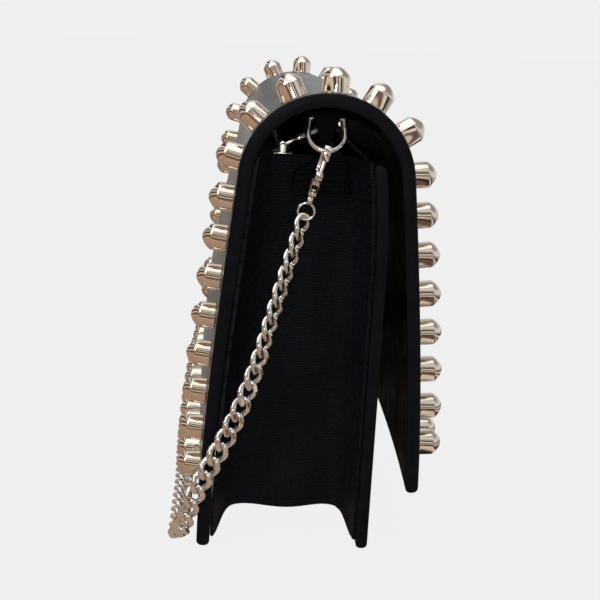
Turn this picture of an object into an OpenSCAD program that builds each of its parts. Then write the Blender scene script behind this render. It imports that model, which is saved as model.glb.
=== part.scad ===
// Chain wallet: a stiff leather clutch with a fold-over flap, edge studs and a chain strap.
// X runs along the wallet, -Y is the front with the flap, +Y is the back, +Z is up.
// The wallet stands on the lower edges of its back and front panels.

/* [Wallet] */
// Length of the wallet along X
wallet_l = 190; // [180:1:200]
// Thickness of the wrap leather with its board and lining
wrap_t = 4.0; // [3.6:0.1:4.4]
// Thickness of the front panel
front_t = 3.6; // [3.2:0.1:4]
// How far the middle of the back panel swells outwards
back_swell = 4.2; // [2:0.1:5]
// How far the middle of the flap swells outwards
flap_swell = 3.0; // [1:0.1:4]

/* [Studs] */
// Diameter of a stud
stud_d = 8; // [7:0.1:8.4]
// Height of a stud above the leather
stud_h = 7.3; // [6.5:0.1:8]
// Distance from the ends of the wallet to the stud columns
stud_inset = 7.5; // [7:0.1:9]
// Studs between the two corner studs of a row
row_studs = 14; // [12:1:15]

/* [Strap] */
// Width of the curb chain
chain_w = 5.6; // [5:0.1:6]
// Wire diameter of the D-rings
ring_wire = 1.7; // [1.5:0.1:1.8]

/* [Hidden] */
$fn = 48;

// ---- the wrap's side outline: back curve, round top, flap curve ----
half_l = wallet_l / 2;
top_r = 25.7;
top_c = [-0.8, 115.3];
top_start = 6;
top_end = 173;
lift_at = 26;        // angle on the round top where the flap's first fold lies
fold_at = 133.5;     // angle on the round top where the flap's second fold lies
slit = 0.3;          // angle left open at each fold
centre_y = 3.0;      // puts the wallet's box over the origin

function on_top(a, r = top_r) = top_c + r * [cos(a), sin(a)];
back_curve = [[33.8, 0], [33.8, 40], on_top(top_start) + 32 * [sin(top_start), -cos(top_start)],
    on_top(top_start)];
flap_curve = [on_top(top_end), on_top(top_end) + 22 * [cos(top_end + 90), sin(top_end + 90)],
    [-34.0, 52], [-34.8, 19.5]];

function bezier(p, t) = pow(1 - t, 3) * p[0] + 3 * pow(1 - t, 2) * t * p[1]
    + 3 * (1 - t) * t * t * p[2] + pow(t, 3) * p[3];
function bezier_way(p, t) = 3 * pow(1 - t, 2) * (p[1] - p[0]) + 6 * (1 - t) * t * (p[2] - p[1])
    + 3 * t * t * (p[3] - p[2]);
function top_angle(u) = top_start + (top_end - top_start) * (u - 1);
function top_u(a) = 1 + (a - top_start) / (top_end - top_start);

// u is 0 at the back's foot, 1 to 2 over the round top and 3 at the flap's lower edge
function outline(u) = u <= 1 ? bezier(back_curve, u)
    : u < 2 ? on_top(top_angle(u)) : bezier(flap_curve, u - 2);
function outline_way(u) = u <= 1 ? bezier_way(back_curve, u)
    : u < 2 ? [-sin(top_angle(u)), cos(top_angle(u))] : bezier_way(flap_curve, u - 2);
function outward(u) = let (w = outline_way(u)) [w[1], -w[0]] / norm(w);
function swell(u) = u < 1 ? back_swell * sin(180 * u)
    : u <= 2 ? 0 : flap_swell * sin(135 * (u - 2));
function swell_at(x, u) = swell(u) * (1 - pow(abs(x) / half_l, 2.4));

// a point of the wrap at x, depth mm inside its outer face
function wrap_point(x, u, depth) = let (p = outline(u) + outward(u) * (swell_at(x, u) - depth))
    [x, p[0], p[1]];

// length along the outline, for spacing the studs
steps = 90;
function run(i, s) = i > steps ? [] : let (
    u = 3 * i / steps,
    s2 = i == 0 ? 0 : s + norm(outline(u) - outline(u - 3 / steps)))
    concat([[s2, u]], run(i + 1, s2));
u_by_run = run(0, 0);
run_by_u = [for (q = u_by_run) [q[1], q[0]]];

// ---- closed sheets from two grids of points ----
function flat(rows) = [for (r = rows) for (p = r) p];
module sheet(outer, inner) {
    nu = len(outer);
    nx = len(outer[0]);
    n = nu * nx;
    function at(j, i) = j * nx + i;
    polyhedron(concat(flat(outer), flat(inner)), concat(
        [for (j = [0:nu - 2]) for (i = [0:nx - 2])
            for (f = [[at(j, i), at(j, i + 1), at(j + 1, i + 1)], [at(j, i), at(j + 1, i + 1), at(j + 1, i)]]) f],
        [for (j = [0:nu - 2]) for (i = [0:nx - 2])
            for (f = [[at(j, i), at(j + 1, i + 1), at(j, i + 1)], [at(j, i), at(j + 1, i), at(j + 1, i + 1)]])
                [f[0] + n, f[1] + n, f[2] + n]],
        [for (i = [0:nx - 2]) for (f = [[at(0, i + 1), at(0, i), n + at(0, i)],
            [at(0, i + 1), n + at(0, i), n + at(0, i + 1)]]) f],
        [for (i = [0:nx - 2]) for (f = [[at(nu - 1, i), at(nu - 1, i + 1), n + at(nu - 1, i + 1)],
            [at(nu - 1, i), n + at(nu - 1, i + 1), n + at(nu - 1, i)]]) f],
        [for (j = [0:nu - 2]) for (f = [[at(j, 0), at(j + 1, 0), n + at(j + 1, 0)],
            [at(j, 0), n + at(j + 1, 0), n + at(j, 0)]]) f],
        [for (j = [0:nu - 2]) for (f = [[at(j + 1, nx - 1), at(j, nx - 1), n + at(j, nx - 1)],
            [at(j + 1, nx - 1), n + at(j, nx - 1), n + at(j + 1, nx - 1)]]) f]));
}

module placed() translate([0, centre_y, 0]) children();

// ---- wrap layers ----
stations = [for (i = [0:10]) -half_l + wallet_l * i / 10];
back_us = concat([for (i = [0:9]) i / 10],
    [for (i = [0:3]) top_u(top_start + (lift_at - slit / 2 - top_start) * i / 3)]);
flap_us = concat([for (i = [0:3]) top_u(fold_at + slit / 2 + (top_end - fold_at - slit / 2) * i / 4)],
    [for (i = [0:9]) 2 + i / 9]);
skin_t = wrap_t * 0.35;
board_t = wrap_t * 0.35;
lining_t = wrap_t * 0.3;

module wrap_layer(us, depth, thick) placed()
    sheet([for (u = us) [for (x = stations) wrap_point(x, u, depth)]],
        [for (u = us) [for (x = stations) wrap_point(x, u, depth + thick)]]);

module top_layer(depth, thick) placed()
    translate([-half_l, top_c[0], top_c[1]]) rotate([90, 0, 90])
        rotate([0, 0, lift_at + slit / 2])
            rotate_extrude(angle = fold_at - lift_at - slit)
                translate([top_r - depth - thick, 0]) square([thick, wallet_l]);

module back_skin() color("silver") wrap_layer(back_us, 0, skin_t);
module back_board() color("tan") wrap_layer(back_us, skin_t, board_t);
module back_lining() color("black") wrap_layer(back_us, skin_t + board_t, lining_t);
module top_skin() color("silver") top_layer(0, skin_t);
module top_board() color("tan") top_layer(skin_t, board_t);
module top_lining() color("black") top_layer(skin_t + board_t, lining_t);
module flap_skin() color("silver") wrap_layer(flap_us, 0, skin_t);
module flap_board() color("tan") wrap_layer(flap_us, skin_t, board_t);
module flap_lining() color("black") wrap_layer(flap_us, skin_t + board_t, lining_t);

// ---- front panel ----
front_line = [[-16.4, 0], [-16.4, 95], [-15.4, 112], [-14.0, 121.5]];
function front_out(depth) = [for (p = front_line) p - [front_t - depth, 0]];
module front_layer(d0, d1) placed() translate([-half_l, 0, 0]) rotate([90, 0, 90])
    linear_extrude(wallet_l) polygon(concat(front_out(d0),
        [for (i = [3:-1:0]) front_out(d1)[i]]));
module front_skin() color("dimgray") front_layer(0, 1.3);
module front_board() color("tan") front_layer(1.3, 2.5);
module front_lining() color("black") front_layer(2.5, front_t);

// ---- gussets and bottom ----
gusset_t = 1.2;
gusset_foot = 9.5;
gusset_top = 122.4;
gusset_gap = 0.3;
gusset_depth = 10.6;
back_line = [for (i = [0:20]) let (p = outline(i / 20) - outward(i / 20) * wrap_t) [p[1], p[0]]];
arch_line = [for (a = [6, 16, 24]) let (p = on_top(a, top_r - wrap_t)) [p[1], p[0]]];
inner_back = concat(back_line, arch_line);
inner_front = [for (p = front_line) [p[1], p[0]]];

function gusset_bow(t) = 1 - pow(abs(2 * t - 1), 6);
function gusset_in(t) = gusset_bow(t) * (gusset_depth - cos(540 * (t - 0.42)));
function gusset_y(t, z) = let (a = lookup(z, inner_front) + gusset_gap + gusset_t,
    b = lookup(z, inner_back) - gusset_gap - gusset_t) a + (b - a) * t;
function gusset_point(t, z) = [-half_l + gusset_in(t), gusset_y(t, z)];
function gusset_way(t, z) = let (w = gusset_point(min(t + 0.01, 1), z) - gusset_point(max(t - 0.01, 0), z))
    w / norm(w);
gusset_ts = [0, 0.04, 0.09, 0.15, 0.22, 0.3, 0.38, 0.46, 0.54, 0.62, 0.7, 0.78, 0.85, 0.91, 0.96, 1];
gusset_zs = [for (i = [0:7]) gusset_foot + (gusset_top - gusset_foot) * i / 7];
module gusset() placed() sheet(
    [for (z = gusset_zs) [for (t = gusset_ts) let (p = gusset_point(t, z)) [p[0], p[1], z]]],
    [for (z = gusset_zs) [for (t = gusset_ts)
        let (p = gusset_point(t, z), w = gusset_way(t, z), q = p + gusset_t * [w[1], -w[0]])
            [q[0], q[1], z]]]);
module gusset_left() color("black") gusset();
module gusset_right() color("black") mirror([1, 0, 0]) gusset();

bottom_l = wallet_l - 2 * 13.1;
module bottom_panel() color("black") placed()
    translate([-bottom_l / 2, -16.1, gusset_foot]) cube([bottom_l, 45.5, 1.6]);

// ---- pocket, card slots and zip ----
inside_l = wallet_l - 2 * 13;
pocket_y = 8;
pocket_t = 1.2;
zip_y = 11.5;
zip_z = 119.6;
tape_t = 0.6;
tooth_w = 1.8;
module pocket_wall() color("black") placed()
    translate([-inside_l / 2, pocket_y, 12]) cube([inside_l, pocket_t, zip_z - 12]);
slot_t = 0.8;
module card_slots() color("black") placed() for (i = [0:2])
    translate([-inside_l / 2 + 4, pocket_y - slot_t * (i + 1), 14])
        cube([inside_l - 8, slot_t, 92 - 20 * i]);
module zip_tape_front() color("black") placed()
    translate([-inside_l / 2, pocket_y, zip_z]) cube([inside_l, zip_y - tooth_w / 2 - pocket_y, tape_t]);
module zip_tape_back() color("black") placed()
    translate([-inside_l / 2, zip_y + tooth_w / 2, zip_z]) cube([inside_l, 19.6 - zip_y - tooth_w / 2, tape_t]);
tooth_pitch = 1.8;
teeth = floor((inside_l - 6) / tooth_pitch);
module zip_teeth() color("silver") placed() for (i = [0:teeth - 1])
    translate([(i - (teeth - 1) / 2) * tooth_pitch - 0.6, zip_y - tooth_w / 2, zip_z - 0.3])
        cube([1.2, tooth_w, 1.2]);

// the slider stands at the left end of its travel
slider_x = -inside_l / 2 + 9;
slider_l = 9;
bar_z = zip_z + 4.2;
bar_r = 0.5;
module zip_slider() color("silver") placed() translate([slider_x, zip_y, 0]) {
    translate([-slider_l / 2, -2.8, zip_z + 1.3]) cube([slider_l, 5.6, 1]);
    for (s = [-1, 1]) translate([-slider_l / 2, s * 2.45 - 0.35, zip_z + tape_t + 0.2])
        cube([slider_l, 0.7, 0.8]);
    for (s = [-1, 1]) translate([s * 2.3 - 0.5, -0.9, zip_z + 2.2]) cube([1, 1.8, 2.4]);
    translate([-2.3, 0, bar_z]) rotate([0, 90, 0]) cylinder(r = bar_r, h = 4.6);
    translate([-slider_l / 2 + 0.6, -2.1, zip_z - 1.5]) cube([slider_l - 1.2, 4.4, 0.9]);
}
strap_lean = 28;      // how far the pull leans up from level
module on_pull() placed() translate([slider_x, zip_y, bar_z]) rotate([-strap_lean, 0, 0]) children();
module zip_puller() color("silver") on_pull() difference() {
    union() {
        translate([-1.4, 0, 0]) rotate([0, 90, 0]) cylinder(r = 1.3, h = 2.8);
        translate([-1.4, -4.6, -0.5]) cube([2.8, 4, 1]);
        translate([-3.2, -6.4, -0.5]) cube([6.4, 2, 1]);
    }
    translate([-3, 0, 0]) rotate([0, 90, 0]) cylinder(r = bar_r + 0.06, h = 6);
}
module zip_strap() color("silver") on_pull() translate([-3, -21, -0.7]) cube([6, 14.6, 1.4]);

// ---- D-rings ----
ring_y = -0.4;
ring_half = 5.45;
ring_bar = [-half_l + 8.8, ring_y, 133.4];
ring_leg = 4.5;
ring_tilt = 25;       // the hook keeps the ring standing off the gusset
wire_r = ring_wire / 2;
module ring_frame() placed() translate(ring_bar) rotate([0, ring_tilt, 0]) children();
module d_ring() color("lightgray") ring_frame() {
    translate([0, 0, -ring_leg]) rotate([0, 90, 0]) rotate([0, 0, -90])
        rotate_extrude(angle = 180) translate([ring_half, 0]) circle(r = wire_r);
    for (s = [-1, 1]) translate([0, s * ring_half, -ring_leg]) cylinder(r = wire_r, h = ring_leg);
    for (s = [-1, 1]) translate([0, s * ring_half, 0]) sphere(r = wire_r);
    translate([0, -ring_half, 0]) rotate([-90, 0, 0]) cylinder(r = wire_r, h = 2 * ring_half);
}
module d_ring_left() d_ring();
module d_ring_right() mirror([1, 0, 0]) d_ring();

// a leather tongue rises along the gusset's face, narrows and folds over the ring's bar
tab_loop_r = 2.1;
tab_t = 1.0;
tab_x = -half_l + 8.4;
tab_neck = 2.4;
module ring_tab() color("black") placed() difference() {
    union() {
        translate([tab_x, ring_y, 0]) rotate([90, 0, 90]) linear_extrude(tab_t)
            polygon([[-8.6, 111], [9.6, 111], [9.0, 117.5], [tab_neck, 121.5], [tab_neck, ring_bar[2]],
                [-tab_neck, ring_bar[2]], [-tab_neck, 127.5], [-6.6, 121.5]]);
        translate([ring_bar[0], ring_y - 4.2, ring_bar[2]]) rotate([-90, 0, 0])
            cylinder(r = tab_loop_r, h = 8.4);
    }
    translate([ring_bar[0], ring_y - 10, ring_bar[2]]) rotate([-90, 0, 0])
        cylinder(r = wire_r + 0.1, h = 20);
}
module ring_tab_left() ring_tab();
module ring_tab_right() mirror([1, 0, 0]) ring_tab();

// ---- snap hooks, in a frame whose origin is the centre of the ring's lowest wire ----
hook_lean = 15.7;
hook_shift = -0.8;
ring_low = ring_bar + (ring_leg + ring_half) * [-sin(ring_tilt), 0, -cos(ring_tilt)];
hook_w = 7.6;
eye_drop = 18.4;
eye_r = 2.45;
eye_wire = 0.4;
gate_pivot = [-3.0, -6.9];
neck_low = -13.4;
head_low = -12.3;
pin_r = 0.4;
module hook_frame() placed() translate(ring_low) rotate([hook_lean, 0, 0])
    translate([hook_shift, 0, 0]) children();
module stadium(w, low, high) union() {
    translate([-w / 2, low + w / 2]) square([w, high - low - w]);
    for (z = [low + w / 2, high - w / 2]) translate([0, z]) circle(d = w);
}
module upright(t) rotate([90, 0, 0]) translate([0, 0, -t / 2]) linear_extrude(t) children();
module hook() color("lightgray") hook_frame() difference() {
    union() {
        upright(2) difference() {
            stadium(hook_w, -9.6, 2.95);
            stadium(hook_w - 3.2, -6.9, 1.4);
            translate([-hook_w / 2 - 1, -6.9]) square([3.2, 4.5]);
        }
        translate([0, 0, neck_low]) cylinder(r = 1.7, h = 5);
    }
    translate([0, 0, -14]) cylinder(r = 0.62, h = 2);
    translate([-3, -0.95, -12.4]) cube([6, 1.9, 2.2]);
    translate([gate_pivot[0] - 1.3, -0.55, gate_pivot[1] - 1.1]) cube([2.3, 1.1, 3]);
}
module hook_pin() hook_frame() translate([gate_pivot[0], -1, gate_pivot[1]])
    rotate([-90, 0, 0]) cylinder(r = pin_r, h = 2);
module hook_left() color("lightgray") { hook(); hook_pin(); }
module hook_right() color("lightgray") mirror([1, 0, 0]) { hook(); hook_pin(); }
module gate() color("lightgray") hook_frame() difference() {
    union() {
        upright(1) translate([gate_pivot[0] - 0.6, gate_pivot[1]]) square([1.2, 4.3]);
        translate([gate_pivot[0], 0, gate_pivot[1]]) rotate([90, 0, 0])
            cylinder(r = 0.8, h = 1, center = true);
    }
    translate([gate_pivot[0], 0, gate_pivot[1]]) rotate([90, 0, 0])
        cylinder(r = pin_r + 0.06, h = 3, center = true);
}
module hook_gate_left() gate();
module hook_gate_right() mirror([1, 0, 0]) gate();
eye_top = -eye_drop + eye_r + eye_wire;
module eye() color("lightgray") hook_frame() {
    translate([0, 0, -eye_drop]) rotate([0, 90, 0]) rotate_extrude()
        translate([eye_r, 0]) circle(r = eye_wire);
    rotate_extrude() polygon([[0, eye_top - 0.6], [0.7, eye_top - 0.6], [1.1, eye_top - 0.1],
        [1.1, neck_low - 0.1], [0.55, neck_low - 0.1], [0.55, head_low], [0.85, head_low],
        [0.85, head_low + 0.9], [0, head_low + 0.9]]);
}
module swivel_eye_left() eye();
module swivel_eye_right() mirror([1, 0, 0]) eye();

// ---- chain: it hangs from the eye, crosses the back panel's edge and lies along the back ----
chain_route = [
    [-91.2, 5.5, 103.5], [-92, 7.2, 97.5], [-93.4, 9.6, 89], [-95, 12, 80.5], [-96.6, 14.4, 71.5],
    [-98, 17, 62], [-99.2, 20.2, 52], [-100, 24.2, 42], [-100.2, 28.6, 32.5], [-100, 33, 23.5],
    [-99.2, 36.4, 14.5], [-97.4, 38.6, 7.5], [-92.5, 39.7, 3.6], [-84, 39.7, 3], [-70, 39.8, 3],
    [-50, 40, 3], [-28, 41, 3], [0, 42, 3]];
chain_sides = 8;
function between(p, i, t) = let (
    a = p[max(i - 1, 0)], b = p[i], c = p[i + 1], d = p[min(i + 2, len(p) - 1)])
    0.5 * (2 * b + (c - a) * t + (2 * a - 5 * b + 4 * c - d) * t * t
        + (3 * b - a - 3 * c + d) * t * t * t);
chain_line = concat([for (i = [0:len(chain_route) - 2]) for (t = [0, 0.5]) between(chain_route, i, t)],
    [chain_route[len(chain_route) - 1]]);
function way(p, i) = let (w = p[min(i + 1, len(p) - 1)] - p[max(i - 1, 0)]) w / norm(w);
function unit(v) = v / norm(v);
module chain() color("lightgray") placed() let (
    n = len(chain_line),
    rings = [for (i = [0:n - 1]) let (
        w = i == n - 1 ? [1, 0, 0] : way(chain_line, i),
        a = unit(cross(w, cross([0, 1, 0.3], w))),
        b = cross(w, a))
        [for (k = [0:chain_sides - 1]) let (g = 360 * (k + 0.5) / chain_sides)
            chain_line[i] + chain_w / 2 * (cos(g) * a + sin(g) * b)]])
    polyhedron(flat(rings), concat(
        [[for (k = [0:chain_sides - 1]) k]],
        [for (i = [0:n - 2]) for (k = [0:chain_sides - 1]) let (m = (k + 1) % chain_sides)
            for (f = [[i * chain_sides + k, (i + 1) * chain_sides + k, (i + 1) * chain_sides + m],
                [i * chain_sides + k, (i + 1) * chain_sides + m, i * chain_sides + m]]) f],
        [[for (k = [chain_sides - 1:-1:0]) (n - 1) * chain_sides + k]]));
module chain_left() chain();
module chain_right() mirror([1, 0, 0]) chain();

// ---- studs ----
low_stud_run = 24.8;
high_stud_run = 278.2;
column_studs = 22;
stud_sink = 0.3;
stud_x = half_l - stud_inset;
stud_us = [for (i = [0:column_studs - 1])
    lookup(low_stud_run + (high_stud_run - low_stud_run) * i / (column_studs - 1), u_by_run)];
module stud() rotate_extrude() polygon([[0, -2.4], [1.2, -2.4], [1.2, -stud_sink],
    [stud_d / 2, -stud_sink], [stud_d / 2, stud_h * 0.6], [stud_d * 0.45, stud_h * 0.72],
    [stud_d * 0.34, stud_h * 0.85], [stud_d * 0.18, stud_h * 0.95], [0, stud_h]]);
module stud_at(x, u) {
    p = wrap_point(x, u, 0);
    n = outward(u);
    placed() translate(p) rotate([atan2(n[1], n[0]) - 90, 0, 0]) stud();
}
module stud_column(side, first, last) color("wheat") for (i = [first:last])
    stud_at(side * stud_x, stud_us[i]);
module stud_row(u) color("wheat") for (i = [1:row_studs])
    stud_at(-stud_x + 2 * stud_x * i / (row_studs + 1), u);
module studs_back_left() stud_column(-1, 0, 8);
module studs_back_right() stud_column(1, 0, 8);
module studs_back_row() stud_row(stud_us[0]);
module studs_top_left() stud_column(-1, 9, 12);
module studs_top_right() stud_column(1, 9, 12);
module studs_flap_left() stud_column(-1, 13, 21);
module studs_flap_right() stud_column(1, 13, 21);
module studs_flap_row() stud_row(stud_us[column_studs - 1]);

// ---- magnetic lock behind the flap and the boss in front of it ----
clasp_u = 2.685;
clasp_r = 13.5;
dome_r = 11.6;
dome_h = 10.8;
plate_h = 2.2;
lock_r = 8;
clasp_p = wrap_point(0, clasp_u, 0);
clasp_n = outward(clasp_u);
clasp_turn = atan2(clasp_n[1], clasp_n[0]) - 90;
module on_clasp() placed() translate(clasp_p) rotate([clasp_turn, 0, 0]) children();
module clasp_plate() color("gray") on_clasp() rotate_extrude()
    polygon([[0, 0], [clasp_r - 0.6, 0], [clasp_r, 0.6], [clasp_r, 1.5], [clasp_r - 0.7, plate_h], [0, plate_h]]);
module clasp_dome() color("darkslategray") on_clasp() translate([0, 0, plate_h]) rotate_extrude()
    polygon(concat([[0, 0]], [for (a = [0:10:90]) [dome_r * cos(a), dome_h * sin(a)]]));
lock_gap = 0.4;
lock_face_y = -26;
lock_z = clasp_p[2];
module lock_body() color("gray") placed() translate([0, -16.4 - front_t, lock_z]) rotate([90, 0, 0])
    cylinder(r = lock_r, h = -lock_face_y - 16.4 - front_t);
module lock_flap() color("gray") placed() difference() {
    translate([0, lock_face_y - lock_gap, lock_z]) rotate([90, 0, 0]) cylinder(r = lock_r, h = 8);
    translate([0, clasp_p[1], clasp_p[2]]) rotate([clasp_turn, 0, 0])
        translate([-20, -20, -wrap_t - 0.2]) cube([40, 40, 20]);
}

back_skin();
back_board();
back_lining();
top_skin();
top_board();
top_lining();
flap_skin();
flap_board();
flap_lining();
front_skin();
front_board();
front_lining();
gusset_left();
gusset_right();
bottom_panel();
pocket_wall();
card_slots();
zip_tape_front();
zip_tape_back();
zip_teeth();
zip_slider();
zip_puller();
zip_strap();
ring_tab_left();
ring_tab_right();
d_ring_left();
d_ring_right();
hook_left();
hook_right();
hook_gate_left();
hook_gate_right();
swivel_eye_left();
swivel_eye_right();
chain_left();
chain_right();
studs_back_left();
studs_back_right();
studs_back_row();
studs_top_left();
studs_top_right();
studs_flap_left();
studs_flap_right();
studs_flap_row();
lock_body();
lock_flap();
clasp_plate();
clasp_dome();
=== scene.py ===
import math
import bmesh
import bpy
from bpy.props import BoolProperty, FloatProperty, FloatVectorProperty, IntProperty, PointerProperty
from mathutils import Matrix, Vector


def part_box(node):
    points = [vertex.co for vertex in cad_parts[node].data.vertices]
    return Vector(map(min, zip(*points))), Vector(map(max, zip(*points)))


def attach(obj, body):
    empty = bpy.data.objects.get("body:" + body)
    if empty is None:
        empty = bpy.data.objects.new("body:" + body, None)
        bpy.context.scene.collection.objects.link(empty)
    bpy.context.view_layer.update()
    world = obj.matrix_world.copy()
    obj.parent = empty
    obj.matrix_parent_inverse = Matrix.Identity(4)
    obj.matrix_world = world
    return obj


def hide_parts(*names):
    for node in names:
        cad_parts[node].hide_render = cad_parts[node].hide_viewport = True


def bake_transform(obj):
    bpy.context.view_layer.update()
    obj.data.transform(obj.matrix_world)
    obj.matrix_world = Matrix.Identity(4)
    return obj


bl_info = {
    "name": "Studded Chain Wallet",
    "version": (1, 0, 0),
    "blender": (4, 5, 0),
    "location": "View3D > Sidebar > Wallet",
    "description": "Builds a studded leather wallet with a chain strap on its CAD frame",
    "category": "Object",
}

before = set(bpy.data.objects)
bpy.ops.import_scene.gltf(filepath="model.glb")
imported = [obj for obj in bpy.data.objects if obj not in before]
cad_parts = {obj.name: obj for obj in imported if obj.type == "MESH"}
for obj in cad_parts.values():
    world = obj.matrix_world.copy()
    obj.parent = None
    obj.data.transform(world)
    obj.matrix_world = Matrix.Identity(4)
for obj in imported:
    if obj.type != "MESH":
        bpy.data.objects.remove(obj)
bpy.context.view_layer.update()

# ---- sizes of the design, in millimetres, in the design's own axes ----
MM = 0.001
CENTRE_Y = 3.0          # the design's axes stand this far behind the frame's
HALF_L = 95.0           # half the wallet's length
TOP_R = 25.7            # radius of the round top
TOP_C = (-0.8, 115.3)   # centre of the round top, as y and z
TOP_START = 6.0         # where the round top starts and ends, in degrees
TOP_END = 173.0
LIFT_AT = 26.0          # the flap's two folds on the round top
FOLD_AT = 133.5
SEAM_AT = 106.6         # where the two halves of the wrap meet
WRAP_T = 4.0            # thickness of the wrap, of its leather and of its board
SKIN_T = 1.4
BOARD_T = 1.4
FRONT_T = 3.6           # thickness of the front panel, of its leather and of its board
FRONT_SKIN_T = 1.3
FRONT_BOARD_T = 1.2
FRONT_LINE = ((0.0, -16.4), (95.0, -16.4), (112.0, -15.4), (121.5, -14.0))  # its inner face, z and y
BACK_SWELL = 4.2        # how far the back and the flap bow outwards
FLAP_SWELL = 3.0
LAP = 0.03              # how far the edge paint stands proud of the leather
STEPS = 90              # steps of the table of lengths along the outline


def on_top(angle, radius=TOP_R):
    """A point of the round top, as y and z."""
    a = math.radians(angle)
    return (TOP_C[0] + radius * math.cos(a), TOP_C[1] + radius * math.sin(a))


def turned(point, angle, length):
    """A point moved by length at an angle."""
    a = math.radians(angle)
    return (point[0] + length * math.cos(a), point[1] + length * math.sin(a))


BACK_CURVE = ((33.8, 0.0), (33.8, 40.0), turned(on_top(TOP_START), TOP_START - 90, 32),
              on_top(TOP_START))
FLAP_CURVE = (on_top(TOP_END), turned(on_top(TOP_END), TOP_END + 90, 22), (-34.0, 52.0), (-34.8, 19.5))


def bezier(p, t):
    """A point of a cubic curve."""
    w = ((1 - t) ** 3, 3 * (1 - t) ** 2 * t, 3 * (1 - t) * t * t, t ** 3)
    return (sum(a * q[0] for a, q in zip(w, p)), sum(a * q[1] for a, q in zip(w, p)))


def bezier_way(p, t):
    """The direction of a cubic curve."""
    w = (3 * (1 - t) ** 2, 6 * (1 - t) * t, 3 * t * t)
    d = [(p[k + 1][0] - p[k][0], p[k + 1][1] - p[k][1]) for k in range(3)]
    return (sum(a * q[0] for a, q in zip(w, d)), sum(a * q[1] for a, q in zip(w, d)))


def top_u(angle):
    """The outline's u at an angle of the round top."""
    return 1 + (angle - TOP_START) / (TOP_END - TOP_START)


def outline(u):
    """The wrap's side outline: u is 0 at the back's foot, 1 to 2 on the top, 3 at the flap's edge."""
    if u <= 1:
        return bezier(BACK_CURVE, u)
    if u < 2:
        return on_top(TOP_START + (TOP_END - TOP_START) * (u - 1))
    return bezier(FLAP_CURVE, u - 2)


def outward(u):
    """The outline's outward direction, as y and z."""
    if u <= 1:
        w = bezier_way(BACK_CURVE, u)
    elif u < 2:
        a = math.radians(TOP_START + (TOP_END - TOP_START) * (u - 1))
        w = (-math.sin(a), math.cos(a))
    else:
        w = bezier_way(FLAP_CURVE, u - 2)
    n = math.hypot(*w)
    return (w[1] / n, -w[0] / n)


def swell_at(x, u):
    """How far the wrap bows outwards at a place."""
    if u < 1:
        s = BACK_SWELL * math.sin(math.pi * u)
    elif u <= 2:
        s = 0.0
    else:
        s = FLAP_SWELL * math.sin(math.radians(135) * (u - 2))
    return s * (1 - min(abs(x) / HALF_L, 1.0) ** 2.4)


def placed(x, y, z):
    """A point of the design's axes as a point of the frame, in metres."""
    return Vector((x * MM, (y + CENTRE_Y) * MM, z * MM))


def wrap_point(x, u, depth):
    """The point of the wrap at x, depth millimetres inside its outer face."""
    p = outline(u)
    n = outward(u)
    off = swell_at(x, u) - depth
    return placed(x, p[0] + n[0] * off, p[1] + n[1] * off)


def lookup(x, table):
    """Straight interpolation in a table of pairs."""
    if x <= table[0][0]:
        return table[0][1]
    for (a, b), (c, d) in zip(table, table[1:]):
        if x <= c:
            return b + (d - b) * (x - a) / (c - a)
    return table[-1][1]


def length_table():
    """Pairs of length along the outline and u."""
    table = [(0.0, 0.0)]
    for i in range(1, STEPS + 1):
        a, b = outline(3 * (i - 1) / STEPS), outline(3 * i / STEPS)
        table.append((table[-1][0] + math.dist(a, b), 3 * i / STEPS))
    return table


U_BY_RUN = length_table()
RUN_BY_U = [(b, a) for a, b in U_BY_RUN]
WRAP_RUN = U_BY_RUN[-1][0]
SEAM_RUN = lookup(top_u(SEAM_AT), RUN_BY_U)


def steps(low, high, size):
    """Evenly spaced values from low to high, about size apart."""
    n = max(1, round((high - low) / size))
    return [low + (high - low) * i / n for i in range(n + 1)]


# ---- making meshes ----
FLAT_WITHIN = 1.0       # faces of a CAD mesh this close in direction are merged, in degrees
SHARP_FROM = 35         # its edges past this angle are rounded


def grid_bmesh(across, along, point, uv, caps=True):
    """A closed bmesh of across by along faces, whose corner i, j goes to point(i, j)."""
    bm = bmesh.new()
    bmesh.ops.create_grid(bm, x_segments=across, y_segments=along, size=1.0)
    layer = bm.loops.layers.uv.new("UVMap")
    wide = max(v.co.x for v in bm.verts)
    high = max(v.co.y for v in bm.verts)
    place = {}
    for v in bm.verts:
        place[v] = (round((v.co.x / wide + 1) / 2 * across), round((v.co.y / high + 1) / 2 * along))
    for f in bm.faces:
        for loop in f.loops:
            loop[layer].uv = uv(*place[loop.vert])
    for v, (i, j) in place.items():
        v.co = point(i, j)
    bmesh.ops.remove_doubles(bm, verts=bm.verts[:], dist=1e-6)
    if caps:
        bmesh.ops.holes_fill(bm, edges=[e for e in bm.edges if e.is_boundary], sides=0)
    bmesh.ops.recalc_face_normals(bm, faces=bm.faces[:])
    return bm


def mesh_from(name, bm):
    """Turns a bmesh into a mesh."""
    mesh = bpy.data.meshes.new(name)
    bm.to_mesh(mesh)
    bm.free()
    return mesh


def piece_from(name, bm, material, angle=38):
    """Turns a bmesh into a smooth object, sharp past an angle or, with 0, where its edges say."""
    mesh = mesh_from(name, bm)
    mesh.shade_smooth()
    if angle:
        mesh.set_sharp_from_angle(angle=math.radians(angle))
    mesh.materials.append(material)
    obj = bpy.data.objects.new(name, mesh)
    bpy.context.collection.objects.link(obj)
    return obj


def part_from(name, bm, look, nodes, body=None, angle=38):
    """A piece in a look and CAD nodes. It rides on its body, or without one is left unattached."""
    obj = piece_from(name, bm, finish(look), angle)
    if body:
        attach(obj, body)
    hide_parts(*nodes)
    return obj


def add_copy(bm, mesh, matrix):
    """Adds a transformed copy of a mesh to a bmesh."""
    first = len(bm.verts)
    bm.from_mesh(mesh)
    bm.verts.ensure_lookup_table()
    bmesh.ops.transform(bm, matrix=matrix, verts=bm.verts[first:])


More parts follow.
